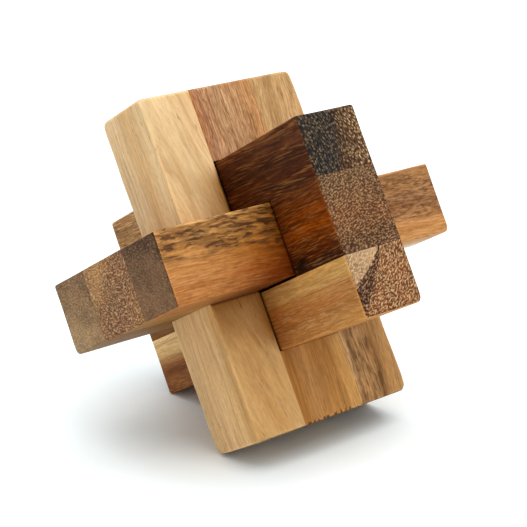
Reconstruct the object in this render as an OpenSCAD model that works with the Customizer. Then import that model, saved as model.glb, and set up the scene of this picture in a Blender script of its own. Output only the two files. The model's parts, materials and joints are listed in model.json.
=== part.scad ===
// Wooden burr puzzle: three slotted boards that pass through one another's slots.
// Each board is glued up from two full-length rails with short blocks between them,
// so the space left between the blocks is the slot. The upright and the through board
// have a block at both ends. The key is a fork with one block, and draws out sideways.
// Sizes are in millimetres. The puzzle leans as it lies on a table, on the lower back
// edge of the upright and the lower back edge of the through board.

/* [Boards] */
// Length of each board along its grain
board_length = 100; // [96:1:110]
// Width of each board across its two rails
board_width = 56; // [52:1:60]
// Thickness of each board
board_thickness = 21; // [18:0.5:22]

/* [Fit] */
// Room left in a slot, across and along, around the board that passes through it
slot_room = 0.9; // [0.6:0.1:1.4]
// Room left along the upright's slot, which the through board fills more closely
upright_room = 0.4; // [0.2:0.1:1.4]

/* [Finish] */
// Radius of the outer edges after sanding
edge_radius = 0.8; // [0.4:0.1:1.5]

/* [Hidden] */
$fn = 48;

slot_width = board_thickness + slot_room;

// The loose boards settle to this far from touching: the through board down in the upright's slot,
// and the through board and the key together towards the back, where the puzzle leans
settled_gap = 0.1;
through_drop = upright_room / 2 - settled_gap;
settled_back = slot_room / 2 - settled_gap;

// Angle at which both lower back edges touch the table, and the height of the upright's centre then
lean = atan((board_length - board_width - 2 * through_drop)
    / (board_length - board_thickness + 2 * settled_back));
rest_height = edge_radius
    + (board_length / 2 - edge_radius) * cos(lean)
    + (board_thickness / 2 - edge_radius) * sin(lean);

// A turn of a third about the diagonal carries the key's axes to the next board's
third_turn = 120;
diagonal = [1, 1, 1];

// Larger than any board, for cutting one down to its pieces
reach = 2 * board_length;

module rounded_rectangle(length, width) {
    square([length - 2 * edge_radius, width], center = true);
    square([length, width - 2 * edge_radius], center = true);
    for (end = [-1, 1], side = [-1, 1])
        translate([end * (length / 2 - edge_radius), side * (width / 2 - edge_radius)])
            circle(edge_radius);
}

// A whole board with its edges sanded: length along x, width along y, thickness along z
module sanded_board() {
    intersection() {
        linear_extrude(board_thickness, center = true)
            rounded_rectangle(board_length, board_width);
        rotate([90, 0, 0])
            linear_extrude(board_width, center = true)
                rounded_rectangle(board_length, board_thickness);
        rotate([90, 0, 90])
            linear_extrude(board_length, center = true)
                rounded_rectangle(board_width, board_thickness);
    }
}

// The rail on one side of the slot, side -1 or 1 along the board's width
module rail(side) {
    intersection() {
        sanded_board();
        translate([0, side * (slot_width + reach) / 2, 0])
            cube(reach, center = true);
    }
}

// The block that closes the slot at one end, end -1 or 1 along the board's length
module end_block(end, room = slot_room) {
    intersection() {
        sanded_board();
        translate([end * (board_width + room + reach) / 2, 0, 0])
            cube([reach, slot_width, reach], center = true);
    }
}

module at_rest() {
    translate([0, 0, rest_height])
        rotate([-lean, 0, 0])
            children();
}

// Key: length left to right, width front to back
module as_key() {
    at_rest() translate([0, settled_back, 0]) children();
}

// Through board: length front to back, width up and down
module as_through() {
    at_rest() translate([0, settled_back, -through_drop]) rotate(third_turn, diagonal) children();
}

// Upright: length up and down, width left to right
module as_upright() {
    at_rest() rotate(2 * third_turn, diagonal) children();
}

module upright_left_rail() {
    color("#d9b47c") as_upright() rail(-1);
}

module upright_right_rail() {
    color("#bd9460") as_upright() rail(1);
}

module upright_top_block() {
    color("#ab7c50") as_upright() end_block(1, upright_room);
}

module upright_bottom_block() {
    color("#b98447") as_upright() end_block(-1, upright_room);
}

module through_upper_rail() {
    color("#4a2a18") as_through() rail(1);
}

module through_lower_rail() {
    color("#b3803f") as_through() rail(-1);
}

module through_front_block() {
    color("#6b4420") as_through() end_block(-1);
}

module through_back_block() {
    color("#8c6238") as_through() end_block(1);
}

module key_front_rail() {
    color("#b9783a") as_key() rail(-1);
}

module key_back_rail() {
    color("#7b6148") as_key() rail(1);
}

module key_end_block() {
    color("#8f6a42") as_key() end_block(-1);
}

upright_left_rail();
upright_right_rail();
upright_top_block();
upright_bottom_block();
through_upper_rail();
through_lower_rail();
through_front_block();
through_back_block();
key_front_rail();
key_back_rail();
key_end_block();
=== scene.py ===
import json
import math
from functools import partial

import bpy
from mathutils import Matrix, Vector, noise


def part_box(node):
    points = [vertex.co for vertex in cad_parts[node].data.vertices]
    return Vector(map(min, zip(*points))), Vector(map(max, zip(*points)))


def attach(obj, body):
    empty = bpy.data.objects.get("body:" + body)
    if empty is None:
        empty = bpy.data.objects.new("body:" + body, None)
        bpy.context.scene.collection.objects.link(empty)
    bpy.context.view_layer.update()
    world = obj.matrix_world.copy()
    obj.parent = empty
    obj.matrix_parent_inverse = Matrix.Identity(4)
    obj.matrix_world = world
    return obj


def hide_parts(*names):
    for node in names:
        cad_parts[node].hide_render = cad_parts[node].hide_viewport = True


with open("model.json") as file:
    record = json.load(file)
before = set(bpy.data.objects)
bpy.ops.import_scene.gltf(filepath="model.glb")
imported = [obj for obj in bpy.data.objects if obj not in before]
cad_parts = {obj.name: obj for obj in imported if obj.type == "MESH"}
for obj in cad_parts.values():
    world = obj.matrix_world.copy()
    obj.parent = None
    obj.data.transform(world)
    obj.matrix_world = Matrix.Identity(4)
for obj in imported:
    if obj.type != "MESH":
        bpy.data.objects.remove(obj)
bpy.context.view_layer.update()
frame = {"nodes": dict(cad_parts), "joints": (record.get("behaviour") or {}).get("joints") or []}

bl_info = {
    "name": "Wooden burr puzzle",
    "version": (1, 0, 0),
    "blender": (4, 5, 0),
    "location": "View3D > Sidebar > Puzzle",
    "description": "Glues up the three slotted boards of a burr puzzle and sets them in a white studio",
    "category": "Add Mesh",
}

MM = 0.001

# The boards lean back with the upright's centre on the z axis; the through board's slide tells the angle
UPRIGHT_BOXES = [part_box("upright_left_rail"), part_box("upright_right_rail")]
CENTRE = sum((low + high for low, high in UPRIGHT_BOXES), Vector()) / (2 * len(UPRIGHT_BOXES))
TOWARDS_FRONT = next(joint["axis"] for joint in frame["joints"] if joint["name"] == "through_play")
LEAN = math.atan2(TOWARDS_FRONT[2], -TOWARDS_FRONT[1])
AT_REST = Matrix.Translation(CENTRE) @ Matrix.Rotation(-LEAN, 4, "X")

# A board's own axes are its length, width and thickness; a third of a turn about the diagonal carries one
# board's axes to the next one's
THIRD_TURN = Matrix.Rotation(math.radians(120), 4, Vector((1, 1, 1)))
BOARD_PLACE = {
    "key_board": AT_REST,
    "through_board": AT_REST @ THIRD_TURN,
    "upright_board": AT_REST @ THIRD_TURN @ THIRD_TURN,
}

# The key sits a little askew in its slots: it is turned by this angle, in radians, about a point to the right
# of its middle, so that its left end is raised
KEY_TURN = 0.0065
KEY_PIVOT = Matrix.Translation((20 * MM, 0, 0))
ASKEW = {"key_board": KEY_PIVOT @ Matrix.Rotation(KEY_TURN, 4, "Y") @ KEY_PIVOT.inverted()}

# A slot lets through a board's thickness and its width; these are half of each
THROUGH_LOW, THROUGH_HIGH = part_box("through_upper_rail")
HALF_THICKNESS_MM = (THROUGH_HIGH.x - THROUGH_LOW.x) / 2 / MM
HALF_WIDTH_MM = max(high.x for _, high in UPRIGHT_BOXES) / MM

# Growth zones run from the pith side to the bark side of a stick, in millimetres from its middle
ZONES = 5
ZONE_REACH_MM = 13.0

# One entry per stick: its board, whether it is a rail or a block and on which side, the record's slot, and
# then its wood.
# grown_towards is the angle of the bark in the stick's section, from the board's width to its thickness.
# slope is how far the grain climbs across the width and the thickness for each millimetre of length.
# fibre is how much the finest fibres vary in tone.
# fan is a ring, and how much wider the zones beside it grow for each millimetre round it.
# side, mid and far colour the growth zones on long grain, from the near end of the stick to its far end, and
# end colours them on end grain.
# streak_mm is the width of the streaks across the rings and round them.
# vessel_cut is the level of the noise above which a vessel shows.
# dot_turn is the angle between the rows of vessels and the growth zones on end grain.
# worm_share is how pale the wavy lines are on end grain, and line_share is how far they change the tone.
# flame_near and flame_far bound the flame at the two ends, and flame_fade is what is left at the far end.
# stain_mm is a dark stain: its place along the stick and across the rings, then its reach along and across.
# knocks are worn corners, by their sides on the board's axes, with their radius in millimetres.
# skew_mm is how far hand sanding left the outer face out of true at the near end, middle and far end.
# torn is the edge, as two faces, that the saw tore.
# slot_shade and board_shade are the reach in millimetres and the share of the painted shade, dark and warm,
# in the inner corners beside the slot and, at the near end, beside the board that crosses. shade_face is the
# axis that the face with painted shade looks along.
STICKS = {
    "upright_left_rail": dict(
        board="upright_board", rail=-1, slot="pale_sapwood", seed=1,
        grown_towards=80, pith_mm=90, slope=(-0.2, 0.0), wander_mm=2.0, ripple_mm=0.3, fibre=0.09,
        side=[(-11, "#D4A468"), (-7, "#E8BC82"), (-1, "#ECBE86"), (4, "#ECC08A"), (11, "#E8C08C")],
        far=[(-11.5, "#EAC48E"), (-8.8, "#F0CC98"), (-5.5, "#ECC28C"), (-1, "#DEB27C"), (5, "#F2CE9E")],
        end=[(-11, "#A98558"), (-6, "#A07C50"), (-1, "#8C6A44"), (3, "#9E7C52"), (11, "#947248")],
        streak="#B27C40", streak_share=0.45, streak_mm=(1.0, 12.0),
        vessel="#84542A", vessel_share=0.5, vessel_length_mm=3.5, vessel_cut=0.63,
        dot="#CDB082", dot_share=0.4, dot_gap_mm=0.9, worm_share=0.4,
        knocks={(-1, -1, -1): 1.6, (-1, -1, 1): 2.3, (1, -1, -1): 1.6, (1, -1, 1): 1.6},
        skew_mm=(0.0, -0.15, -0.3),
        slot_shade=(13, 1.0), board_shade=(15, 0.8),
    ),
    "upright_right_rail": dict(
        board="upright_board", rail=1, slot="grey_tan_wood", seed=2,
        grown_towards=0, pith_mm=70, slope=(0.06, 0.0), wander_mm=2.6, ripple_mm=1.0, fibre=0.2,
        side=[(-8, "#E8BE8A"), (-4, "#BC8C5A"), (0, "#C69662"), (4, "#A87848"), (8, "#BC8C56")],
        far=[(-8, "#CEA26E"), (-4.5, "#BE925E"), (-1, "#CCA06C"), (4, "#D0A470"), (8, "#D2A46C")],
        end=[(-8, "#86643F"), (-4, "#6A4C2E"), (0, "#866440"), (4, "#705030"), (8, "#84623C")],
        streak="#7C5630", streak_share=0.35,
        vessel="#5E3E22", vessel_share=0.35, vessel_length_mm=6, vessel_cut=0.56,
        dot="#C8A878", dot_share=0.4, dot_gap_mm=0.9, worm_share=0.4,
        flame="#4A2C14", flame_share=0.7, flame_along_mm=5, flame_across_mm=0.9,
        flame_near=(-5.5, 5.0), flame_far=(-10.0, -10.0),
        knocks={(-1, 1, -1): 2.2, (1, 1, -1): 1.6}, skew_mm=(0.55, -0.33, -1.2),
    ),
    "upright_top_block": dict(
        board="upright_board", block=1, slot="red_brown_wood", seed=3,
        grown_towards=0, pith_mm=60, slope=(0.02, 0.0), wander_mm=1.6, ripple_mm=1.0, fibre=0.32,
        side=[(-11, "#B4764A"), (-8, "#C29068"), (-2, "#C4966A"), (5, "#C59466"), (11, "#CA905A")],
        end=[(-11, "#7A4A2E"), (-8, "#7E563A"), (-2, "#8C6C4C"), (5, "#886444"), (11, "#805638")],
        streak="#8A4A26", streak_share=0.62,
        vessel="#6C3A1C", vessel_share=0.55, vessel_length_mm=4,
        dot="#C8A47C", dot_share=0.45, dot_gap_mm=0.9, worm_share=0.4,
    ),
    "upright_bottom_block": dict(
        board="upright_board", block=-1, slot="golden_wood", seed=4,
        grown_towards=0, pith_mm=80, slope=(0.01, 0.0), wander_mm=0.8, ripple_mm=0.3, fibre=0.16,
        side=[(-11, "#B97E40"), (-8.5, "#AC7234"), (-4, "#C89054"), (4, "#C48846"), (11, "#D4A05E")],
        end=[(-11, "#8A6238"), (-8, "#7C5630"), (-2, "#94703F"), (4, "#8E683A"), (11, "#9E7C4C")],
        streak="#96602A", streak_share=0.28,
        vessel="#5A381A", vessel_share=0.4, vessel_length_mm=10, vessel_cut=0.56,
        dot="#D2B07A", dot_share=0.4, dot_gap_mm=0.9, worm_share=0.4,
        torn=((0, -1), (2, -1)),
    ),
    "through_upper_rail": dict(
        board="through_board", rail=1, slot="dark_heartwood", seed=5,
        grown_towards=110, pith_mm=60, slope=(0.06, 0.0), wander_mm=1.4, ripple_mm=0.3, fibre=0.5,
        side=[(-12.5, "#5A2E15"), (-10.5, "#421B06"), (-8.5, "#522204"), (-2, "#3A1908"), (11, "#6A4222")],
        far=[(-12.5, "#C09262"), (-10.5, "#BA8A5A"), (-8.5, "#B28250"), (-2, "#A27246"), (11, "#AA7C4E")],
        end=[(-11, "#211F1D"), (-7, "#1C1C1D"), (-1.2, "#1E1D1E"), (1.6, "#402818"), (11, "#523622")],
        streak="#24110A", streak_share=0.55,
        vessel="#90602F", vessel_share=0.65, vessel_length_mm=9,
        dot="#D0A878", dot_share=1.0, dot_gap_mm=0.8, dot_turn=36, worm_share=0.3, line_share=0.35,
        board_shade=(17, 0.7),
    ),
    "through_lower_rail": dict(
        board="through_board", rail=-1, slot="golden_wood", seed=6,
        grown_towards=142, pith_mm=50, slope=(0.0, 0.0), wander_mm=1.2, ripple_mm=0.5, fibre=0.2,
        fan=(-5.0, 0.12),
        side=[(-10.9, "#CE9850"), (-7.6, "#D2A05C"), (-6.7, "#C48C4E"), (-4.9, "#B2723A"), (-3.3, "#BE8242")],
        mid=[(-10.9, "#C48A44"), (-7.6, "#C8924E"), (-6.7, "#B27030"), (-4.9, "#AE682E"), (-3.3, "#B0733A")],
        far=[(-10.9, "#F6CE92"), (-7.2, "#EABC7C"), (-5.2, "#985A28"), (-4.4, "#723A16"), (-3.7, "#92582A")],
        end=[(-12, "#BC9A74"), (-5.4, "#B08C68"), (-4.8, "#402418"), (-3.0, "#3C1E16"), (-2.0, "#764628")],
        streak="#A2622A", streak_share=0.45,
        vessel="#E4BE88", vessel_share=0.28, vessel_length_mm=4,
        dot="#D0A676", dot_share=0.75, dot_gap_mm=0.7, worm_share=0.9, line_share=0.35,
        knocks={(-1, -1, 1): 1.6}, skew_mm=(-0.5, 0.05, 0.0),
        board_shade=(9, 0.6),
    ),
    "through_front_block": dict(
        board="through_board", block=-1, slot="orange_brown_wood", seed=7,
        grown_towards=0, pith_mm=70, slope=(0.02, 0.0), wander_mm=1.4, ripple_mm=0.3, fibre=0.5,
        side=[(-8.5, "#341200"), (-3.5, "#602600"), (1.5, "#8A3E00"), (6.5, "#723204"), (11, "#66320C")],
        end=[(-11, "#523624"), (-6.5, "#4A2E1C"), (0, "#663A20"), (4, "#603C24"), (11, "#58402C")],
        streak="#301200", streak_share=0.7,
        vessel="#BE8448", vessel_share=0.3, vessel_length_mm=5,
        dot="#B88E62", dot_share=0.74, dot_gap_mm=0.68, dot_turn=15, worm_share=0.6, line_share=0.3,
        stain_mm=(-31.5, -7.0, 4.5, 3.0),
        slot_shade=(8, 0.7),
    ),
    "through_back_block": dict(
        board="through_board", block=1, slot="orange_brown_wood", seed=8,
        grown_towards=0, pith_mm=70, slope=(0.02, 0.0), wander_mm=1.0, ripple_mm=0.3, fibre=0.2,
        side=[(-11, "#8C5A2C"), (-7, "#7E4E22"), (-2, "#945E2C"), (4, "#885422"), (11, "#7E4C22")],
        end=[(-11, "#5E422C"), (-6, "#563A26"), (0, "#66442C"), (5, "#60402A"), (11, "#5C402A")],
        streak="#5E3414", streak_share=0.4,
        vessel="#50300F", vessel_share=0.4, vessel_length_mm=9,
        dot="#B08C64", dot_share=0.6, dot_gap_mm=0.85, worm_share=0.5,
    ),
    "key_front_rail": dict(
        board="key_board", rail=-1, slot="golden_wood", seed=9,
        grown_towards=110, pith_mm=100, slope=(0.0, -0.04), wander_mm=1.6, ripple_mm=0.6, fibre=0.24,
        side=[(-7.5, "#AA6C38"), (-3, "#BE7E46"), (2, "#C4864A"), (6, "#C68A48"), (12.5, "#D8A262")],
        mid=[(-7.5, "#662C06"), (-3, "#90460E"), (2, "#AA641E"), (6, "#C68A42"), (12.5, "#D4A05C")],
        far=[(-9, "#E8D6BE"), (-7, "#D49A60"), (-2, "#CC9056"), (3.5, "#AA784E"), (10, "#AA784A")],
        end=[(-11, "#785438"), (-5, "#704E34"), (2, "#6A4A32"), (6, "#543624"), (11, "#3C2416")],
        streak="#8A4A18", streak_share=0.5,
        vessel="#DCA868", vessel_share=0.2, vessel_length_mm=5,
        dot="#A08058", dot_share=0.45, dot_gap_mm=0.75, worm_share=0.5, line_share=0.15,
        flame="#4D2C1C", flame_share=0.92, flame_along_mm=4.5, flame_across_mm=0.95,
        flame_near=(3.0, 12.0), flame_far=(1.0, 13.5), flame_fade=0.8,
        knocks={(1, -1, -1): 1.6},
        board_shade=(15, 1.0), shade_face=1,
    ),
    "key_back_rail": dict(
        board="key_board", rail=1, slot="grey_brown_wood", seed=10,
        grown_towards=120, pith_mm=45, slope=(0.0, 0.01), wander_mm=1.4, ripple_mm=0.5, fibre=0.2,
        side=[(-11, "#A07C50"), (-5, "#8E6A40"), (0, "#967246"), (5, "#846038"), (11, "#906C44")],
        end=[(-11, "#AA8A64"), (-5, "#9C7A54"), (0, "#8E6C4A"), (5, "#846242"), (11, "#74543A")],
        streak="#5E4024", streak_share=0.4,
        vessel="#523618", vessel_share=0.4, vessel_length_mm=8,
        dot="#B8966C", dot_share=0.4, dot_gap_mm=0.65, worm_share=0.8,
        knocks={(-1, 1, -1): 1.4},
    ),
    "key_end_block": dict(
        board="key_board", block=-1, slot="grey_brown_wood", seed=11,
        grown_towards=45, pith_mm=120, slope=(0.0, 0.01), wander_mm=2.4, ripple_mm=1.0, fibre=0.2,
        side=[(-11, "#A87C40"), (-6, "#A0723C"), (0, "#885C30"), (7, "#9C6E3C"), (11, "#A87C46")],
        end=[(-11, "#8A5C34"), (-7, "#7C4E32"), (0, "#764C34"), (4.5, "#845836"), (8.5, "#A07246")],
        streak="#5E3A1C", streak_share=0.45,
        vessel="#462A14", vessel_share=0.4, vessel_length_mm=8,
        dot="#C29868", dot_share=0.65, dot_gap_mm=0.68, dot_turn=135, worm_share=1.0, line_share=0.35,
    ),
}


def linear(hex_colour):
    """An sRGB hex colour as linear red, green and blue."""
    parts = [int(hex_colour[i:i + 2], 16) / 255 for i in (1, 3, 5)]
    return tuple(p / 12.92 if p <= 0.04045 else ((p + 0.055) / 1.055) ** 2.4 for p in parts)


# Settings that a user would change

LENGTH = {"subtype": "DISTANCE", "unit": "LENGTH"}
ANGLE = {"subtype": "ANGLE", "unit": "ROTATION"}
COLOUR = {"size": 3, "min": 0, "max": 1, "subtype": "COLOR"}


class PuzzleSizes(bpy.types.PropertyGroup):
    """Sizes of the boards' finish; the boards themselves keep the frame's sizes."""

    edge_radius: bpy.props.FloatProperty(
        name="Edge radius", description="Radius of the outer edges after sanding",
        default=0.8 * MM, min=0.2 * MM, max=2 * MM, **LENGTH,
    )
    seam_radius: bpy.props.FloatProperty(
        name="Seam radius", description="Radius of the edges along glue seams and inside the slots",
        default=0.1 * MM, min=0.0, max=0.5 * MM, **LENGTH,
    )
    edge_wobble: bpy.props.FloatProperty(
        name="Edge wobble", description="How much the sanded radius varies along an edge",
        default=0.4, min=0.0, max=0.9, subtype="FACTOR",
    )
    sanding_depth: bpy.props.FloatProperty(
        name="Sanding depth", description="Height of the shallow waves that hand sanding leaves",
        default=0.05 * MM, min=0.0, max=0.3 * MM, **LENGTH,
    )
    mesh_pitch: bpy.props.FloatProperty(
        name="Mesh pitch", description="Spacing of the mesh on the flat faces",
        default=1.6 * MM, min=0.5 * MM, max=6 * MM, **LENGTH,
    )


class StudioSettings(bpy.types.PropertyGroup):
    """Where the camera stands and how bright the studio is."""

    heading: bpy.props.FloatProperty(
        name="Heading", description="Direction that the camera looks in, to the right of straight ahead",
        default=math.radians(39.86), **ANGLE,
    )
    dip: bpy.props.FloatProperty(
        name="Dip", description="How far the camera looks down",
        default=math.radians(18.05), **ANGLE,
    )
    roll: bpy.props.FloatProperty(
        name="Roll", description="Turn of the camera about its own axis",
        default=math.radians(-1.42), **ANGLE,
    )
    distance: bpy.props.FloatProperty(
        name="Distance", description="From the camera to the puzzle's centre",
        default=477.3 * MM, **LENGTH,
    )
    aim: bpy.props.FloatVectorProperty(
        name="Aim", description="Point that the camera looks at, from the puzzle's centre",
        default=(1.32 * MM, -1.81 * MM, -1.67 * MM), subtype="XYZ", unit="LENGTH",
    )
    lens: bpy.props.FloatProperty(
        name="Lens", description="Focal length in millimetres on a 36 mm sensor",
        default=113.15, min=20, max=300,
    )
    sky: bpy.props.FloatProperty(
        name="Sky", description="Strength of the even white light from all round",
        default=0.64, min=0, max=3,
    )
    sky_colour: bpy.props.FloatVectorProperty(
        name="Sky colour", description="Colour of the light from all round, a little cooler than the lamp's",
        default=linear("#F5FAFF"), **COLOUR,
    )
    floor_gain: bpy.props.FloatProperty(
        name="Floor gain", description="How far the table top is overexposed to the camera",
        default=1.26, min=1, max=3,
    )
    lamp: bpy.props.FloatProperty(
        name="Lamp", description="Power of the soft lamp overhead", default=8.5, min=0, max=50, unit="POWER",
    )
    floor_colour: bpy.props.FloatVectorProperty(
        name="Floor", description="Colour of the table top",
        default=linear("#EEF4F4"), **COLOUR,
    )


def wood_settings(stick):
    """A property group with one stick's colours and shares, taken from its entry above."""
    facts = STICKS[stick]
    label = stick.replace("_", " ")
    rows = {}
    for surface in ("side", "mid", "far", "end"):
        for i, (_, colour) in enumerate(facts.get(surface, ())):
            rows[f"{surface}_{i}"] = bpy.props.FloatVectorProperty(
                name=f"{surface} zone {i + 1}", description=f"Colour of a growth zone of the {label}",
                default=linear(colour), **COLOUR,
            )
    for mark in ("streak", "vessel", "dot", "flame"):
        if mark not in facts:
            continue
        rows[mark] = bpy.props.FloatVectorProperty(
            name=mark.capitalize(), description=f"Colour of the {mark}s in the {label}",
            default=linear(facts[mark]), **COLOUR,
        )
        rows[f"{mark}_share"] = bpy.props.FloatProperty(
            name=f"{mark} share", description=f"How strongly the {mark}s of the {label} show",
            default=facts[f"{mark}_share"], min=0, max=1, subtype="FACTOR",
        )
    name = "".join(word.capitalize() for word in stick.split("_")) + "Wood"
    body = {"__annotations__": rows, "__doc__": f"Wood of the {label}."}
    return type(name, (bpy.types.PropertyGroup,), body)


WOOD_GROUPS = {stick: wood_settings(stick) for stick in STICKS}


# Meshes

# Distances of the mesh lines from both ends of a stick, close enough to round a worn corner
END_LINES_MM = (0.0, 0.15, 0.35, 0.6, 0.9, 1.5, 2.4)

# The radius of a sanded edge varies over about this length
WOBBLE_MM = 9

# A worn corner reaches along its edges by this many of its radii
KNOCK_REACH = 2.5

# A torn edge is chipped about once in each of these lengths, and its mesh is fine enough to show that; its
# radius between the chips, and how much a chip adds, are shares of the sanded radius
CHIP_MM = 1.1
TORN_PITCH_MM = 0.3
TORN_SHARE = 0.4
CHIP_SHARE = 4.5

# Hand sanding leaves waves of about this length on what lies this close to an outer face
WAVE_MM = 14
SANDED_MM = 0.2

# Faces that meet at more than this angle are shaded as a sharp edge
SHARP_ANGLE = math.radians(40)


def stick_box(stick):
    """Low and high corner of a stick in its board's axes, measured on its node of the frame."""
    to_board = BOARD_PLACE[STICKS[stick]["board"]].inverted()
    corners = [to_board @ vertex.co for vertex in frame["nodes"][stick].data.vertices]
    low = Vector([min(corner[axis] for corner in corners) for axis in range(3)])
    high = Vector([max(corner[axis] for corner in corners) for axis in range(3)])
    return low, high


def seam_faces(facts):
    """The faces of a stick, as axis and side, that are glued or line the slot and so stay sharp."""
    if "rail" in facts:
        return {(1, -facts["rail"])}
    return {(0, -facts["block"]), (1, -1), (1, 1)}


def stations(low, high, pitch):
    """Places of the mesh lines along one axis: close together by both ends and even between them."""
    near = [low + depth * MM for depth in END_LINES_MM]
    far = [high - depth * MM for depth in reversed(END_LINES_MM)]
    span = far[0] - near[-1]
    count = max(1, round(span / pitch))
    return near + [near[-1] + span * i / count for i in range(1, count)] + far


def outer_radius(point, faces, corner_depth, knock, facts, sizes):
    """Radius of an outer edge at one point: uneven, larger by a worn corner, chipped where it was torn."""
    if facts.get("torn") == faces:
        chip = noise.noise(Vector((point[1] / MM / CHIP_MM, facts["seed"], 0.0)) * 2)
        return sizes.edge_radius * (TORN_SHARE + CHIP_SHARE * max(0.0, chip))
    wobble = noise.noise(Vector(point) / (WOBBLE_MM * MM))
    radius = sizes.edge_radius * (1 + sizes.edge_wobble * wobble)
    if knock > radius:
        radius += (knock - radius) * max(0.0, 1 - corner_depth / (KNOCK_REACH * knock)) ** 2
    return radius


def round_off(place, bound, side, axes, radius):
    """Moves a point near where two or three faces meet onto a round of that radius."""
    inside = [max(0.0, radius - abs(bound[axis] - place[axis])) for axis in axes]
    reach = math.hypot(*inside)
    if reach <= radius:
        return
    for axis, amount in zip(axes, inside):
        if amount > 0:
            place[axis] = bound[axis] - side[axis] * (radius - amount * radius / reach)


def eased(point, low, high, facts, sizes):
    """A point of the square stick moved onto the rounded one, and how near it is to an outer edge."""
    sharp = seam_faces(facts)
    side = [1 if point[i] > (low[i] + high[i]) / 2 else -1 for i in range(3)]
    bound = [high[i] if side[i] > 0 else low[i] for i in range(3)]
    depth = [abs(bound[i] - point[i]) for i in range(3)]
    knock = facts.get("knocks", {}).get(tuple(side), 0.0) * MM
    place = list(point)
    nearness = 0.0
    outer = sorted((i for i in range(3) if (i, side[i]) not in sharp), key=lambda i: depth[i])
    if len(outer) > 1:
        first, second = sorted(outer[:2])
        faces = ((first, side[first]), (second, side[second]))
        radius = outer_radius(point, faces, depth[3 - first - second], knock, facts, sizes)
        nearness = max(0.0, 1 - depth[outer[1]] / (2 * sizes.edge_radius))
        round_off(place, bound, side, outer, radius)
    for first, second in ((0, 1), (0, 2), (1, 2)):
        if sharp.intersection(((first, side[first]), (second, side[second]))):
            round_off(place, bound, side, (first, second), sizes.seam_radius)
    return place, nearness


def make_stick(stick, sizes):
    """The mesh object of one rail or block, with its edges eased and its faces sanded by hand."""
    facts = STICKS[stick]
    low, high = stick_box(stick)
    pitches = [sizes.mesh_pitch] * 3
    if "torn" in facts:
        pitches[1] = TORN_PITCH_MM * MM
    lines = [stations(low[i], high[i], pitches[i]) for i in range(3)]
    counts = [len(line) for line in lines]
    index, points, nearnesses, faces = {}, [], [], []

    def vertex(key):
        if key not in index:
            square = [lines[i][key[i]] for i in range(3)]
            place, nearness = eased(square, low, high, facts, sizes)
            index[key] = len(points)
            points.append(place)
            nearnesses.append(nearness)
        return index[key]

    for axis in range(3):
        across, up = (axis + 1) % 3, (axis + 2) % 3
        for end in (0, counts[axis] - 1):
            for i in range(counts[across] - 1):
                for j in range(counts[up] - 1):
                    ring = []
                    for di, dj in ((0, 0), (1, 0), (1, 1), (0, 1)):
                        key = [0, 0, 0]
                        key[axis], key[across], key[up] = end, i + di, j + dj
                        ring.append(vertex(tuple(key)))
                    faces.append(ring if end else ring[::-1])

    mesh = bpy.data.meshes.new(stick + "_wood")
    mesh.from_pydata(points, [], faces)
    sand(mesh, low, high, facts, sizes.sanding_depth)
    # How near each point is to an outer edge; the wood uses it for edge wear, a painted highlight on the
    # edges and painted shade in torn gaps
    attribute = mesh.attributes.new("edge_nearness", "FLOAT", "POINT")
    attribute.data.foreach_set("value", nearnesses)
    mesh.polygons.foreach_set("use_smooth", [True] * len(mesh.polygons))
    mesh.set_sharp_from_angle(angle=SHARP_ANGLE)
    piece = bpy.data.objects.new(stick + "_wood", mesh)
    bpy.context.scene.collection.objects.link(piece)
    piece.matrix_world = BOARD_PLACE[facts["board"]] @ ASKEW.get(facts["board"], Matrix())
    return piece


def sand(mesh, low, high, facts, depth):
    """Presses shallow waves into the outer faces and leaves rails out of true; slot faces stay flat."""
    sharp = seam_faces(facts)
    near, middle, far = facts.get("skew_mm", (0.0, 0.0, 0.0))
    for vertex in mesh.vertices:
        for axis in range(3):
            for side, bound in ((-1, low[axis]), (1, high[axis])):
                if (axis, side) in sharp or abs(vertex.co[axis] - bound) > SANDED_MM * MM:
                    continue
                wave = noise.noise(vertex.co / (WAVE_MM * MM) + Vector((7 * axis, side, 0)))
                vertex.co[axis] -= side * depth * (0.5 + 0.5 * wave)
        if "skew_mm" in facts:
            slot_face = low[1] if facts["rail"] > 0 else high[1]
            share = abs(vertex.co[1] - slot_face) / (high[1] - low[1])
            along = 2 * vertex.co[0] / (high[0] - low[0])
            end = far if along > 0 else near
            vertex.co[1] += share * (middle + abs(along) * (end - middle)) * MM


# Materials

# Settings that many nodes share: a range that eases in and out, and a mix of two colours with its two inputs
EASED = {"interpolation_type": "SMOOTHSTEP"}
COLOURS = {"data_type": "RGBA", "output": 2}
FIRST, SECOND = 6, 7

# Size of the patterns in the grain, in millimetres along it, across the rings and round them. Real fibres,
# pores and specks are finer than a picture of the whole puzzle shows, so they are drawn coarser here
PATTERN_MM = {
    "wander": (45, 14, 14),
    "ripple": (10, 3, 3),
    "band": (100, 4.5, 9.0),
    "fibre": (7, 0.42, 0.6),
    "pore": (1.8, 0.4, 0.5),
    "crowd": (25, 3.0, 4.0),
    "blotch": (60, 5.0, 6.0),
    "speck": (40, 0.4, 0.5),
    "oil": (22, 2.6, 5.0),
}

# Length of the streaks, and their usual width across the rings and round them
STREAK_LENGTH_MM = 30
STREAK_MM = (1.1, 2.2)

# Width of the vessels across the rings and round them, and the size of the flame's marks round the rings
VESSEL_MM = (0.42, 0.5)
FLAME_ROUND_MM = 3.0

# Size of the wavy lines on end grain, in gaps between vessels
WAVY_LINE = (0.6, 1.3, 1.0)

# Sticks are taken from the same grain this far apart, so that no two look alike
SEED_STEP_MM = 250.0

# Where along a stick the colours of its middle and of its far end take over
TAKES_OVER_MM = {"mid": (-45.0, -14.0), "far": (-8.0, 22.0)}

# How far red, green and blue follow a change of tone: darker wood is warmer
TONE_SHARES = (0.85, 1.0, 1.2)
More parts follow.
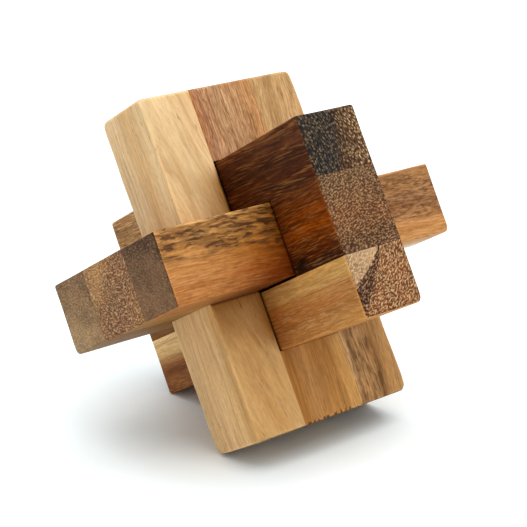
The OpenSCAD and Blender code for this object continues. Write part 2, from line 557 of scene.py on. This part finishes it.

# Tones that multiply the wood's colour: oil that takes little or much, edges made paler along the grain,
# partly by wear and partly as painted highlight, and darker across it, gaps between torn fibres, darkened in
# part as painted shade, and painted shade in the inner corners where the boards cross
OIL_TINTS = (0.99, 1.0, 1.02, 1), (1.03, 1.0, 0.94, 1)
EDGE_WEAR_AND_HIGHLIGHT_TINT = (1.7, 1.8, 2.0, 1)
END_EDGE_TINT = (0.5, 0.32, 0.22, 1)
TORN_TINT = (0.3, 0.22, 0.17)
CORNER_PAINTED_SHADE = (0.55, 0.36, 0.14)

# What is left of the colour in the painted shade of the gap where one board enters another's slot
GAP_PAINTED_SHADE_TONE = 0.3


def add_node(tree, kind, *values, named=None, output=0, **settings):
    """Adds one node with its settings and gives one of its outputs, or all of them.

    The values go to the inputs in order, and those in named to the inputs of that name or number. Each is a
    socket to join or a value to set.
    """
    node = tree.nodes.new("ShaderNode" + kind)
    for name, value in settings.items():
        setattr(node, name, value)
    for socket, value in [*enumerate(values), *(named or {}).items()]:
        if isinstance(value, bpy.types.NodeSocket):
            tree.links.new(value, node.inputs[socket])
        else:
            node.inputs[socket].default_value = value
    return node.outputs if output is None else node.outputs[output]


class StickWood:
    """The wood of one stick as nodes: where each point lies in the grain, then its colour, step by step."""

    def __init__(self, stick, tones, tree):
        self.facts = STICKS[stick]
        self.tones = tones
        self.low, self.high = stick_box(stick)
        self.add = partial(add_node, tree)
        where = self.add("TexCoord", output=None)
        self.board_mm = self.add("VectorMath", where["Object"], named={"Scale": 1 / MM}, operation="SCALE")
        self.axes = self.add("SeparateXYZ", self.board_mm, output=None)
        self.along = self.axes["X"]
        self.normal = self.add("SeparateXYZ", where["Normal"], output=None)
        end_face = self.add("Math", self.normal["X"], operation="ABSOLUTE")
        self.end_share = self.add("MapRange", end_face, 0.55, 0.85, **EASED)
        self.follow_grain()
        self.fibre = self.grain_noise(PATTERN_MM["fibre"])
        streak_mm = (STREAK_LENGTH_MM, *self.facts.get("streak_mm", STREAK_MM))
        self.streak = self.grain_noise(streak_mm, detail=3.0)

    def grain_noise(self, sizes_mm, place=None, detail=2.0, output="Fac"):
        """Noise of those sizes along the grain, across the rings and round them."""
        place = self.grain if place is None else place
        scale = tuple(1 / size for size in sizes_mm)
        scaled = self.add("VectorMath", place, scale, operation="MULTIPLY")
        inputs = {"Scale": 1.0, "Detail": detail, "Roughness": 0.55}
        return self.add("TexNoise", scaled, named=inputs, output=output, noise_dimensions="3D")

    def toned(self, wood, pattern, strength):
        """The wood made darker and lighter by a pattern."""
        dark, light = [tuple(1 + sign * strength * share for share in TONE_SHARES) for sign in (-1, 1)]
        swing = self.add("MapRange", pattern, 0.27, 0.73, **EASED)
        tint = self.add("Mix", swing, named={FIRST: (*dark, 1), SECOND: (*light, 1)}, **COLOURS)
        return self.add("VectorMath", wood, tint, operation="MULTIPLY")

    def follow_grain(self):
        """Shears the grain along its slope, turns it to the growth direction and bends it round the pith."""
        facts, add = self.facts, self.add
        middle_mm = (self.low + self.high) / 2 / MM
        own = add("VectorMath", self.board_mm, (0.0, middle_mm.y, middle_mm.z), operation="SUBTRACT")
        climb = (0.0, -facts["slope"][0], -facts["slope"][1])
        shear = add("VectorMath", climb, named={"Scale": self.along}, operation="SCALE")
        own = add("VectorMath", own, shear, operation="ADD")
        turn = (-math.radians(facts["grown_towards"]), 0, 0)
        shift = (facts["seed"] * SEED_STEP_MM, 0, 0)
        turned = add("Mapping", own, named={"Location": shift, "Rotation": turn})

        # It wanders and ripples as it grows
        bent = turned
        for pattern in ("wander", "ripple"):
            amount = 2 * facts[pattern + "_mm"]
            push = self.grain_noise(PATTERN_MM[pattern], turned, output="Color")
            push = add("VectorMath", push, (0.5, 0.5, 0.5), operation="SUBTRACT")
            push = add("VectorMath", push, (0.0, amount, amount), operation="MULTIPLY")
            bent = add("VectorMath", bent, push, operation="ADD")

        parts = add("SeparateXYZ", bent, output=None)
        self.round = parts["Z"]
        from_pith = add("Math", parts["Y"], facts["pith_mm"], operation="ADD")
        arm = add("CombineXYZ", 0.0, from_pith, self.round)
        radius = add("VectorMath", arm, output="Value", operation="LENGTH")
        self.ring = add("Math", radius, facts["pith_mm"], operation="SUBTRACT")
        self.grain = add("CombineXYZ", parts["X"], self.ring, self.round)
        self.growth = add("MapRange", self.zone_ring(), -ZONE_REACH_MM, ZONE_REACH_MM)

    def zone_ring(self):
        """The ring that the colour follows: a fan widens the zones beside one ring as they go round."""
        if "fan" not in self.facts:
            return self.ring
        pivot, widening = self.facts["fan"]
        least_spread = 0.2
        spread = self.add("Math", self.round, widening, 1.0, operation="MULTIPLY_ADD")
        spread = self.add("Math", spread, least_spread, operation="MAXIMUM")
        offset = self.add("Math", self.ring, pivot, operation="SUBTRACT")
        offset = self.add("Math", offset, spread, operation="DIVIDE")
        return self.add("Math", offset, pivot, operation="ADD")

    def zone_colours(self, surface):
        """Colours of the growth zones on one surface, from the pith side to the bark side."""
        ramp = self.add("ValToRGB", self.growth)
        stops = ramp.node.color_ramp.elements
        while len(stops) < ZONES:
            stops.new(0.5)
        for i, (place, _) in enumerate(self.facts[surface]):
            stops[i].position = (place + ZONE_REACH_MM) / (2 * ZONE_REACH_MM)
            stops[i].color = (*getattr(self.tones, f"{surface}_{i}"), 1)
        return ramp

    def long_grain(self):
        """Wood along the grain: growth zones, darker streaks, broad bands, fibres and pores."""
        add = self.add
        wood = self.zone_colours("side")
        for surface, (start, stop) in TAKES_OVER_MM.items():
            if surface in self.facts:
                share = add("MapRange", self.along, start, stop, **EASED)
                wood = add("Mix", share, named={FIRST: wood, SECOND: self.zone_colours(surface)}, **COLOURS)
        share = add("MapRange", self.streak, 0.46, 0.72, 0.0, self.tones.streak_share, **EASED)
        wood = add("Mix", share, named={FIRST: wood, SECOND: (*self.tones.streak, 1)}, **COLOURS)
        band = self.grain_noise(PATTERN_MM["band"])
        pore = self.grain_noise(PATTERN_MM["pore"])
        strength = self.facts["fibre"]
        for pattern, amount in ((band, 0.13), (self.fibre, strength), (pore, 0.6 * strength)):
            wood = self.toned(wood, pattern, amount)
        return wood

    def flamed(self, wood):
        """A dark flame inside one band of the growth: soft clouds with broken cores, finer at the far end."""
        if "flame" not in self.facts:
            return wood
        facts, add = self.facts, self.add
        full = self.tones.flame_share
        share = add("MapRange", self.along, -5.0, 25.0, full, full * facts.get("flame_fade", 1.0), **EASED)
        low, high = [
            add("MapRange", self.along, -40.0, 0.0, near, far, **EASED)
            for near, far in zip(facts["flame_near"], facts["flame_far"])
        ]
        above_low = add("Math", self.ring, low, operation="SUBTRACT")
        share = add("MapRange", above_low, -1.5, 1.0, 0.0, share, **EASED)
        below_high = add("Math", high, self.ring, operation="SUBTRACT")
        share = add("MapRange", below_high, -1.0, 1.5, 0.0, share, **EASED)

        sizes_mm = (facts["flame_along_mm"], facts["flame_across_mm"], FLAME_ROUND_MM)
        cloud, core, fine = [self.grain_noise([k * size for size in sizes_mm]) for k in (1.8, 1.0, 0.45)]
        finer = add("Math", fine, core, operation="SUBTRACT")
        far_share = add("MapRange", self.along, 5.0, 30.0, **EASED)
        core = add("Math", finer, far_share, core, operation="MULTIPLY_ADD")
        clouded = add("MapRange", cloud, 0.36, 0.56, 0.4, 1.0, **EASED)
        dark = add("MapRange", core, 0.44, 0.56, 0.0, clouded, **EASED)
        soft = add("MapRange", cloud, 0.4, 0.62, 0.0, 0.6, **EASED)
        dark = add("Math", dark, soft, operation="MAXIMUM")
        share = add("Math", dark, share, operation="MULTIPLY")
        return add("Mix", share, named={FIRST: wood, SECOND: (*self.tones.flame, 1)}, **COLOURS)

    def with_vessels(self, wood):
        """Vessels cut along their length, which show as thin broken dashes, in crowds."""
        add = self.add
        cut = self.facts.get("vessel_cut", 0.52)
        vessel = self.grain_noise((self.facts["vessel_length_mm"], *VESSEL_MM), detail=1.0)
        crowd = self.grain_noise(PATTERN_MM["crowd"])
        crowded = add("MapRange", crowd, 0.35, 0.6, 0.25, 1.0, **EASED)
        self.dash = add("MapRange", vessel, cut, cut + 0.14, 0.0, crowded, **EASED)
        share = add("Math", self.dash, self.tones.vessel_share, operation="MULTIPLY")
        return add("Mix", share, named={FIRST: wood, SECOND: (*self.tones.vessel, 1)}, **COLOURS)

    def stained(self, wood):
        """A dark stain that fades out along the grain, ragged where the streaks cross it."""
        if "stain_mm" not in self.facts:
            return wood
        add = self.add
        stain_along, stain_ring, reach_along, reach_across = self.facts["stain_mm"]
        offset = add("CombineXYZ", self.along, self.ring)
        offset = add("VectorMath", offset, (stain_along, stain_ring, 0.0), operation="SUBTRACT")
        offset = add("VectorMath", offset, (1 / reach_along, 1 / reach_across, 0.0), operation="MULTIPLY")
        distance = add("VectorMath", offset, output="Value", operation="LENGTH")
        ragged = add("Math", distance, self.streak, operation="ADD")
        tone = add("MapRange", ragged, 0.7, 1.7, 0.25, 1.0, **EASED)
        return add("VectorMath", wood, named={"Scale": tone}, operation="SCALE")

    def cut_across(self, wood):
        """End grain on the ends: vessels as pale spots and short wavy lines, fainter in dark heartwood."""
        facts, add = self.facts, self.add
        gap = facts["dot_gap_mm"]
        turn = math.radians(facts.get("dot_turn", 0))
        section = add("CombineXYZ", self.ring, self.round)
        rows = add("VectorRotate", section, named={"Angle": turn}, rotation_type="Z_AXIS")
        rows = add("VectorMath", rows, (1 / gap, 0.85 / gap, 1.0), operation="MULTIPLY")
        inputs = {"Scale": 1.0, "Randomness": 0.9}
        cells = add("TexVoronoi", rows, named=inputs, output=None, feature="F1", voronoi_dimensions="2D")
        lit = add("SeparateXYZ", cells["Color"], output="X")
        lit = add("MapRange", lit, 0.2, 0.8, **EASED)
        spot = add("MapRange", cells["Distance"], 0.5, 0.15, 0.0, lit, **EASED)
        line = self.grain_noise(WAVY_LINE, rows, detail=1.0)
        wavy = add("MapRange", line, 0.5, 0.64, 0.0, facts["worm_share"], **EASED)
        pale = add("Math", spot, wavy, operation="MAXIMUM")

        blotch = self.grain_noise(PATTERN_MM["blotch"])
        tone = add("MapRange", blotch, 0.3, 0.7, 0.8, 1.2, **EASED)
        across = add("VectorMath", self.zone_colours("end"), named={"Scale": tone}, operation="SCALE")
        light = add("RGBToBW", across)
        full = self.tones.dot_share
        not_filled = add("MapRange", light, 0.01, 0.05, 0.27 * full, full, **EASED)
        not_lost = add("MapRange", light, 0.2, 0.4, 1.0, 0.4, **EASED)
        share = add("Math", not_filled, not_lost, operation="MULTIPLY")
        share = add("Math", share, pale, operation="MULTIPLY")
        across = add("Mix", share, named={FIRST: across, SECOND: (*self.tones.dot, 1)}, **COLOURS)
        speck = self.grain_noise(PATTERN_MM["speck"])
        for pattern, strength in ((speck, 0.2), (line, facts.get("line_share", 0.25))):
            across = self.toned(across, pattern, strength)
        return add("Mix", self.end_share, named={FIRST: wood, SECOND: across}, **COLOURS)

    def oiled(self, wood):
        """The oil takes unevenly, so that patches lean to gold."""
        patch = self.grain_noise(PATTERN_MM["oil"])
        warmth = self.add("MapRange", patch, 0.3, 0.7, **EASED)
        tint = self.add("Mix", warmth, named=dict(zip((FIRST, SECOND), OIL_TINTS)), **COLOURS)
        return self.add("VectorMath", wood, tint, operation="MULTIPLY")

    def with_edge_wear_and_highlight(self, wood):
        """Edges are rubbed paler by sanding and handling, but darker on end grain, which drinks more oil.

        Torn fibres leave dark gaps between them along a saw-torn edge.
        """
        add = self.add
        nearness = add("Attribute", output="Fac", attribute_name="edge_nearness")
        # Paler edges: partly sanding wear, partly a painted highlight; at the edges of end grain they are
        # made darker instead
        uneven = add("MapRange", self.streak, 0.3, 0.7, 0.1, 0.55, **EASED)
        share = add("MapRange", nearness, 0.3, 1.0, 0.0, uneven, **EASED)
        tint = add("Mix", self.end_share, named={FIRST: EDGE_WEAR_AND_HIGHLIGHT_TINT, SECOND: END_EDGE_TINT}, **COLOURS)
        paled_and_lit = add("VectorMath", wood, tint, operation="MULTIPLY")
        wood = add("Mix", share, named={FIRST: wood, SECOND: paled_and_lit}, **COLOURS)
        # Gaps between torn fibres, darkened in part as painted shade
        if "torn" in self.facts:
            fringe_mm = (50, CHIP_MM, 50)
            fringe = self.grain_noise(fringe_mm, self.board_mm, detail=1.0)
            gap = add("MapRange", fringe, 0.5, 0.58, **EASED)
            share = add("MapRange", nearness, 0.35, 0.75, 0.0, gap, **EASED)
            torn = add("VectorMath", wood, TORN_TINT, operation="MULTIPLY")
            wood = add("Mix", share, named={FIRST: wood, SECOND: torn}, **COLOURS)
        return wood

    def slot_corner(self):
        """Distance from the slot in millimetres, a mask of where it counts, and the rub mark on its edge.

        The board in the slot leans on the far half of a rail, so the mark is stronger there.
        """
        axis = 1 if "rail" in self.facts else 0
        half_mm = min(abs(self.low[axis]), abs(self.high[axis])) / MM
        place = self.add("Math", self.axes[axis], operation="ABSOLUTE")
        distance = self.add("Math", place, half_mm, operation="SUBTRACT")
        if "block" in self.facts:
            return distance, 1.0, None
        from_middle = self.add("Math", self.along, operation="ABSOLUTE")
        beside = self.add("MapRange", from_middle, HALF_WIDTH_MM + 1, HALF_WIDTH_MM - 7, **EASED)
        far_half = self.add("MapRange", self.along, -12.0, 8.0, 0.25, 1.0, **EASED)
        # Painted shade of the gap at the slot's edge
        mark = self.add("MapRange", distance, 0.8, 0.2, 0.0, far_half, **EASED)
        mark = self.add("Math", mark, beside, operation="MULTIPLY")
        return distance, beside, mark

    def board_corner(self):
        """The same for the board that crosses the near end, with the mark where the stick enters its slot."""
        near_end = self.add("Math", self.along, -1.0, operation="MULTIPLY")
        distance = self.add("Math", near_end, HALF_THICKNESS_MM, operation="SUBTRACT")
        beside = self.add("MapRange", distance, -1.0, 0.0, **EASED)
        entered = self.add("MapRange", distance, -3.5, -0.3, **EASED)
        # Painted shade of the gap where the stick enters the crossing board's slot
        mark = self.add("MapRange", distance, 0.7, -0.3, 0.0, entered, **EASED)
        return distance, beside, mark

    def with_painted_shade(self, wood):
        """Hands don't reach the inner corners, where oil, dust and rubbing leave the wood dark and warm."""
        facts, add = self.facts, self.add
        face = add("Math", self.normal[facts.get("shade_face", 2)], operation="ABSOLUTE")
        facing = add("MapRange", face, 0.3, 0.7, **EASED)
        deepest, gap_shades = 0.0, []
        for shade, corner in (("slot_shade", self.slot_corner), ("board_shade", self.board_corner)):
            if shade not in facts:
                continue
            reach, share = facts[shade]
            distance, beside, mark = corner()
            wide = add("MapRange", distance, reach, 0.15 * reach, 0.0, 0.6 * share, **EASED)
            close = add("MapRange", distance, 0.25 * reach, 0.0, 0.0, 0.4 * share, **EASED)
            depth = add("Math", wide, close, operation="ADD")
            depth = add("Math", depth, beside, operation="MULTIPLY")
            deepest = add("Math", deepest, depth, operation="MAXIMUM")
            if mark is not None:
                gap_shades.append(mark)
        share = add("Math", deepest, facing, operation="MULTIPLY")
        # Painted shade in the inner corners, dark and warm
        dark = add("VectorMath", wood, CORNER_PAINTED_SHADE, operation="MULTIPLY")
        wood = add("Mix", share, named={FIRST: wood, SECOND: dark}, **COLOURS)
        # Painted shade in the gaps at the slots' edges
        for mark in gap_shades:
            mark = add("Math", mark, facing, operation="MULTIPLY")
            tone = add("MapRange", mark, 0.0, 1.0, 1.0, GAP_PAINTED_SHADE_TONE, **EASED)
            wood = add("VectorMath", wood, named={"Scale": tone}, operation="SCALE")
        return wood

    def finish(self, wood):
        """A low satin sheen, with the fibres raised a little and the vessels sunk."""
        raised = self.add("Math", self.fibre, 0.3, operation="MULTIPLY")
        height = self.add("Math", raised, self.dash, operation="SUBTRACT")
        bump = self.add("Bump", named={"Height": height, "Strength": 0.2, "Distance": 0.06 * MM})
        sheen = {"Roughness": 0.5, "Specular IOR Level": 0.08, "Normal": bump}
        shader = self.add("BsdfPrincipled", wood, named=sheen)
        self.add("OutputMaterial", shader, output=None)


def sanded_oiled_wood(stick, tones):
    """Rain-tree wood, sawn, sanded and oiled: one solid grain, long on the sides and spotted on the ends."""
    # Sanding and oil give the eye a low satin sheen, open vessels as thin dashes along the grain and as pale
    # spots across it, soft growth bands, edges paler from wear and a painted highlight, and painted corner
    # shade
    material = bpy.data.materials.new("rain_tree_sanded_oiled_" + stick)
    material.use_nodes = True
    material.node_tree.nodes.clear()
    own = StickWood(stick, tones, material.node_tree)
    wood = own.long_grain()
    for step in (own.flamed, own.with_vessels, own.stained, own.cut_across, own.oiled, own.with_edge_wear_and_highlight, own.with_painted_shade):
        wood = step(wood)
    own.finish(wood)
    return material


# Operators


def glue_up(context, board):
    """Builds every stick of one board, gives it its wood and sets it on the board's body."""
    for stick, facts in STICKS.items():
        if facts["board"] != board:
            continue
        piece = make_stick(stick, context.scene.puzzle_sizes)
        piece.data.materials.append(sanded_oiled_wood(stick, getattr(context.scene, "wood_" + stick)))
        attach(piece, board)
        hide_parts(stick)


class PUZZLE_OT_upright_board(bpy.types.Operator):
    """Glues up the upright board: two rails with a block at each end of its slot"""

    bl_idname = "puzzle.upright_board"
    bl_label = "Upright board"

    def execute(self, context):
        glue_up(context, "upright_board")
        return {"FINISHED"}


class PUZZLE_OT_through_board(bpy.types.Operator):
    """Glues up the through board, which passes through the upright's slot"""

    bl_idname = "puzzle.through_board"
    bl_label = "Through board"

    def execute(self, context):
        glue_up(context, "through_board")
        return {"FINISHED"}


class PUZZLE_OT_key_board(bpy.types.Operator):
    """Glues up the forked key, which passes through the through board and straddles the upright"""

    bl_idname = "puzzle.key_board"
    bl_label = "Key board"

    def execute(self, context):
        glue_up(context, "key_board")
        return {"FINISHED"}


class PUZZLE_OT_studio(bpy.types.Operator):
    """Lays the white table top, lights the room, hangs the soft lamp and sets up the camera"""

    bl_idname = "puzzle.studio"
    bl_label = "Studio"

    def execute(self, context):
        studio = context.scene.puzzle_studio
        lay_table(studio)
        light_room(context, studio)
        hang_lamp(context, studio)
        place_camera(context, studio)
        return {"FINISHED"}


# Half the width of the table top, in metres
TABLE_HALF = 3.0

# Far from the lamp, between these distances in metres, the table top needs more and more gain to stay white
FAR_OFF = (0.3, 1.2)
FAR_GAIN = 3.0

# Place of the soft lamp and the length of its sides, in metres
LAMP_PLACE = Vector((0.05, -0.05, 0.9))
LAMP_SIZE = 1.1

SENSOR_MM = 36


def matt_white_laminate(studio):
    """Matt white laminate of the table top, which is overexposed to the camera, as in a white studio."""
    # To the eye it is an even white that takes a soft shadow
    material = bpy.data.materials.new("matt_white_laminate")
    material.use_nodes = True
    tree = material.node_tree
    tree.nodes.clear()
    seen = add_node(tree, "LightPath", output="Is Camera Ray")
    where = add_node(tree, "TexCoord", output="Object")
    far_off = add_node(tree, "VectorMath", where, output="Value", operation="LENGTH")
    full_gain = add_node(tree, "MapRange", far_off, *FAR_OFF, studio.floor_gain, FAR_GAIN)
    gain = add_node(tree, "MapRange", seen, 0.0, 1.0, 1.0, full_gain)
    white = add_node(tree, "VectorMath", studio.floor_colour, named={"Scale": gain}, operation="SCALE")
    shader = add_node(tree, "BsdfDiffuse", white)
    add_node(tree, "OutputMaterial", shader, output=None)
    return material


def lay_table(studio):
    """A wide flat table top, white to the eye and keeping the puzzle's shadow."""
    mesh = bpy.data.meshes.new("table_top")
    corners = [(x * TABLE_HALF, y * TABLE_HALF, 0) for x, y in ((-1, -1), (1, -1), (1, 1), (-1, 1))]
    mesh.from_pydata(corners, [], [(0, 1, 2, 3)])
    table = bpy.data.objects.new("table_top", mesh)
    bpy.context.scene.collection.objects.link(table)
    mesh.materials.append(matt_white_laminate(studio))


def light_room(context, studio):
    """Even light from all round, which the camera and reflections see as plain white."""
    world = bpy.data.worlds.new("white_room")
    context.scene.world = world
    world.use_nodes = True
    tree = world.node_tree
    tree.nodes.clear()
    rays = add_node(tree, "LightPath", output=None)
    seen = add_node(tree, "Math", rays["Is Camera Ray"], rays["Is Glossy Ray"], operation="MAXIMUM")
    strength = add_node(tree, "MapRange", seen, 0.0, 1.0, studio.sky, 1.0)
    tints = {FIRST: (*studio.sky_colour, 1), SECOND: (1, 1, 1, 1)}
    colour = add_node(tree, "Mix", seen, named=tints, **COLOURS)
    light = add_node(tree, "Background", colour, strength)
    add_node(tree, "OutputWorld", light, output=None)
    context.scene.view_settings.view_transform = "Standard"


def hang_lamp(context, studio):
    """One soft square lamp above, which faces the puzzle."""
    lamp = bpy.data.lights.new("lamp_overhead", "AREA")
    lamp.shape = "SQUARE"
    lamp.size = LAMP_SIZE
    lamp.energy = studio.lamp
    holder = bpy.data.objects.new("lamp_overhead", lamp)
    context.scene.collection.objects.link(holder)
    holder.location = LAMP_PLACE
    holder.rotation_mode = "QUATERNION"
    holder.rotation_quaternion = (CENTRE - LAMP_PLACE).to_track_quat("-Z", "Y")


def place_camera(context, studio):
    """The camera at the photograph's angle, aimed close to the puzzle's centre."""
    heading, dip = studio.heading, studio.dip
    level = math.cos(dip)
    forward = Vector((math.sin(heading) * level, math.cos(heading) * level, -math.sin(dip)))
    camera = bpy.data.cameras.new("camera")
    camera.lens = studio.lens
    camera.sensor_width = SENSOR_MM
    holder = bpy.data.objects.new("camera", camera)
    context.scene.collection.objects.link(holder)
    holder.location = CENTRE + Vector(studio.aim) - forward * studio.distance
    turn = forward.to_track_quat("-Z", "Y").to_matrix().to_4x4() @ Matrix.Rotation(studio.roll, 4, "Z")
    holder.rotation_mode = "QUATERNION"
    holder.rotation_quaternion = turn.to_quaternion()
    context.scene.camera = holder


class PUZZLE_PT_sidebar(bpy.types.Panel):
    """Lists the puzzle's boards, the studio and their settings"""

    bl_idname = "PUZZLE_PT_sidebar"
    bl_label = "Burr puzzle"
    bl_space_type = "VIEW_3D"
    bl_region_type = "UI"
    bl_category = "Puzzle"

    def draw(self, context):
        for operator in OPERATORS:
            self.layout.operator(operator.bl_idname)
        for settings in (context.scene.puzzle_sizes, context.scene.puzzle_studio):
            for name in settings.__annotations__:
                self.layout.prop(settings, name)


OPERATORS = (PUZZLE_OT_upright_board, PUZZLE_OT_through_board, PUZZLE_OT_key_board, PUZZLE_OT_studio)
CLASSES = (PuzzleSizes, StudioSettings, *WOOD_GROUPS.values(), *OPERATORS, PUZZLE_PT_sidebar)


def register():
    for cls in CLASSES:
        bpy.utils.register_class(cls)
    bpy.types.Scene.puzzle_sizes = bpy.props.PointerProperty(type=PuzzleSizes)
    bpy.types.Scene.puzzle_studio = bpy.props.PointerProperty(type=StudioSettings)
    for stick, group in WOOD_GROUPS.items():
        setattr(bpy.types.Scene, "wood_" + stick, bpy.props.PointerProperty(type=group))


def unregister():
    for stick in WOOD_GROUPS:
        delattr(bpy.types.Scene, "wood_" + stick)
    del bpy.types.Scene.puzzle_studio
    del bpy.types.Scene.puzzle_sizes
    for cls in reversed(CLASSES):
        bpy.utils.unregister_class(cls)


def main():
    register()
    bpy.ops.puzzle.upright_board()
    bpy.ops.puzzle.through_board()
    bpy.ops.puzzle.key_board()
    bpy.ops.puzzle.studio()


if __name__ == "__main__":
    main()
